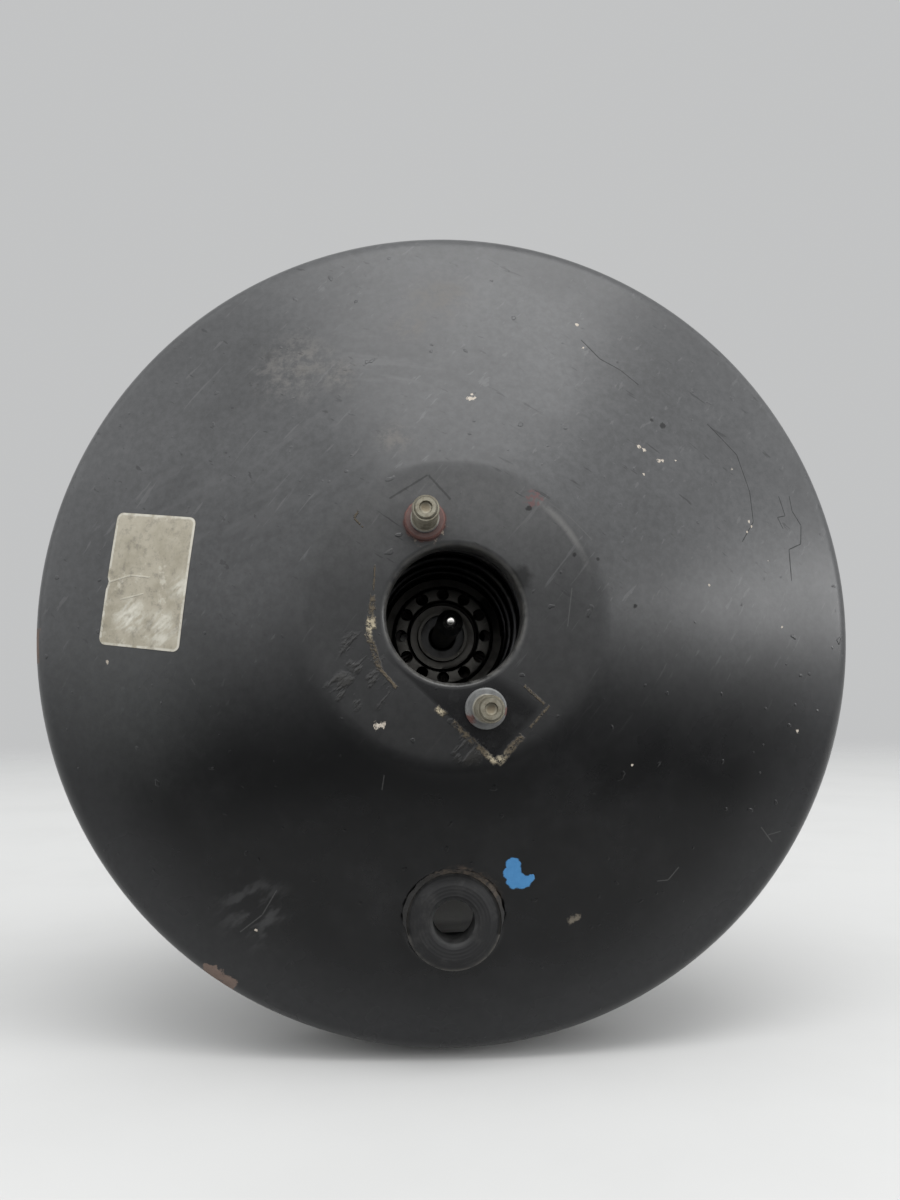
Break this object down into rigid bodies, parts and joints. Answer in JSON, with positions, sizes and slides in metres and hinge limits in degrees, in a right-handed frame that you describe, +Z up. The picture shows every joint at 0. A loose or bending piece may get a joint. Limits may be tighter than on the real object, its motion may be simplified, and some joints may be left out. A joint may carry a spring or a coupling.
{
  "type": "brake booster",
  "caption": "Round vacuum brake booster: black drawn-steel shells, sprung power piston with push rod, rear input rod with clevis and dust boot, studs at both ends.",
  "frame": {"origin": "centre of the bulkhead stud pattern, on the face that bolts to the bulkhead", "axes": "+Y along the booster's axis towards the brake pedal, -Y towards the master cylinder, +X to the right for someone facing the master cylinder side, +Z up"},
  "size_m": [0.286, 0.2681, 0.286],
  "materials": {
    "black_paint": "satin black paint, scuffed",
    "zinc_steel": "zinc plated",
    "spring_steel": "oiled spring steel",
    "rubber": "matt",
    "moulding": "moulded resin",
    "felt": "felt",
    "foam": "open foam"
  },
  "bodies": {
    "housing": {"front_shell": "black_paint", "rear_shell": "black_paint", "stud_backing_plate": "zinc_steel", "master_cylinder_studs": "zinc_steel", "bulkhead_studs": "zinc_steel", "check_valve_grommet": "rubber", "neck_bush": "moulding", "neck_seal": "rubber", "neck_seal_retainer": "zinc_steel", "dust_boot": "rubber", "diaphragm": "rubber", "return_spring": "spring_steel"},
    "power_piston": {"valve_body": "moulding", "diaphragm_plate": "zinc_steel", "spring_seat": "zinc_steel", "reaction_disc": "rubber", "output_push_rod": "zinc_steel", "stop_key": "zinc_steel", "poppet_valve": "rubber", "poppet_spring": "spring_steel", "poppet_retainer": "zinc_steel", "input_return_spring": "spring_steel", "silencer_felt": "felt", "air_filter": "foam"},
    "control_plunger": {"control_plunger": "zinc_steel"},
    "input_rod": {"input_rod": "zinc_steel", "input_spring_cup": "zinc_steel", "locknut": "zinc_steel", "clevis": "zinc_steel"}
  },
  "joints": [
    {"name": "power_stroke", "type": "slide", "parent": "housing", "child": "power_piston", "axis": [0, -1, 0], "range_m": [0, 0.034], "stiffness_N_per_m": 3500, "springref_m": -0.043, "deforming": ["return_spring", "diaphragm", "dust_boot"]},
    {"name": "valve_stroke", "type": "slide", "parent": "power_piston", "child": "control_plunger", "axis": [0, -1, 0], "range_m": [0, 0.002], "stiffness_N_per_m": 3000, "springref_m": -0.02, "deforming": ["input_return_spring"]},
    {"name": "rod_swivel", "type": "hinge", "parent": "control_plunger", "child": "input_rod", "pos_m": [0, 0.013, 0], "axis": [1, 0, 0], "range_deg": [-4, 4], "stiffness_Nm_per_rad": 12, "springref_deg": 0.52, "deforming": ["input_return_spring"]}
  ]
}
